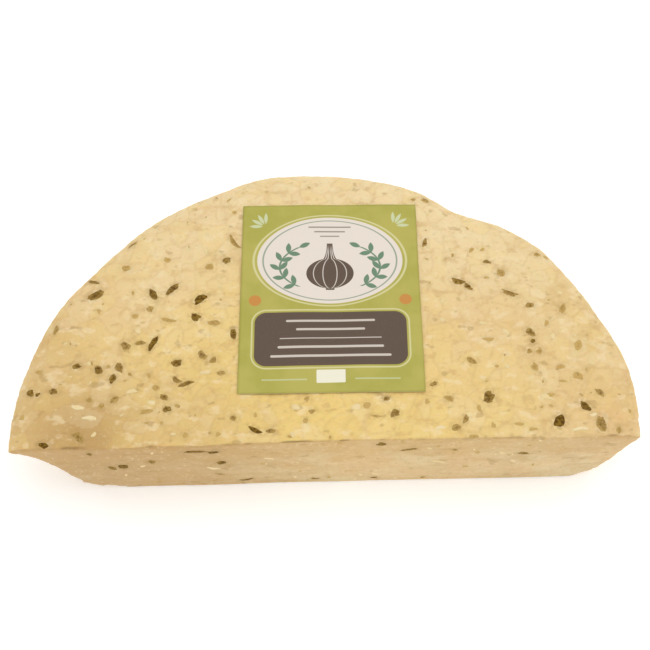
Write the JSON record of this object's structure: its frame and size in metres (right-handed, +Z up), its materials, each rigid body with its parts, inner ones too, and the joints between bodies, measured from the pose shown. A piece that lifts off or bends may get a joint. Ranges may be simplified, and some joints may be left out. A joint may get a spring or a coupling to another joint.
{
  "type": "half wheel of garlic and herb cheese with a paper label",
  "caption": "Half of a low round cheese wheel, cut straight across, with herb flecks in its surface and a flat paper label on its top.",
  "frame": {"origin": "middle of the footprint, on the flat underside", "axes": "+Z up, -Y out of the straight cut, +X along the cut to the right as seen from the cut"},
  "size_m": [0.3002, 0.161, 0.0494],
  "materials": {
    "cheese": "smooth pale yellow cheese with dark herb flecks, slightly moist",
    "label_paper": "printed paper, olive green, cream and brown"
  },
  "bodies": {
    "root": {"cheese": "cheese", "label": "label_paper"}
  },
  "joints": []
}
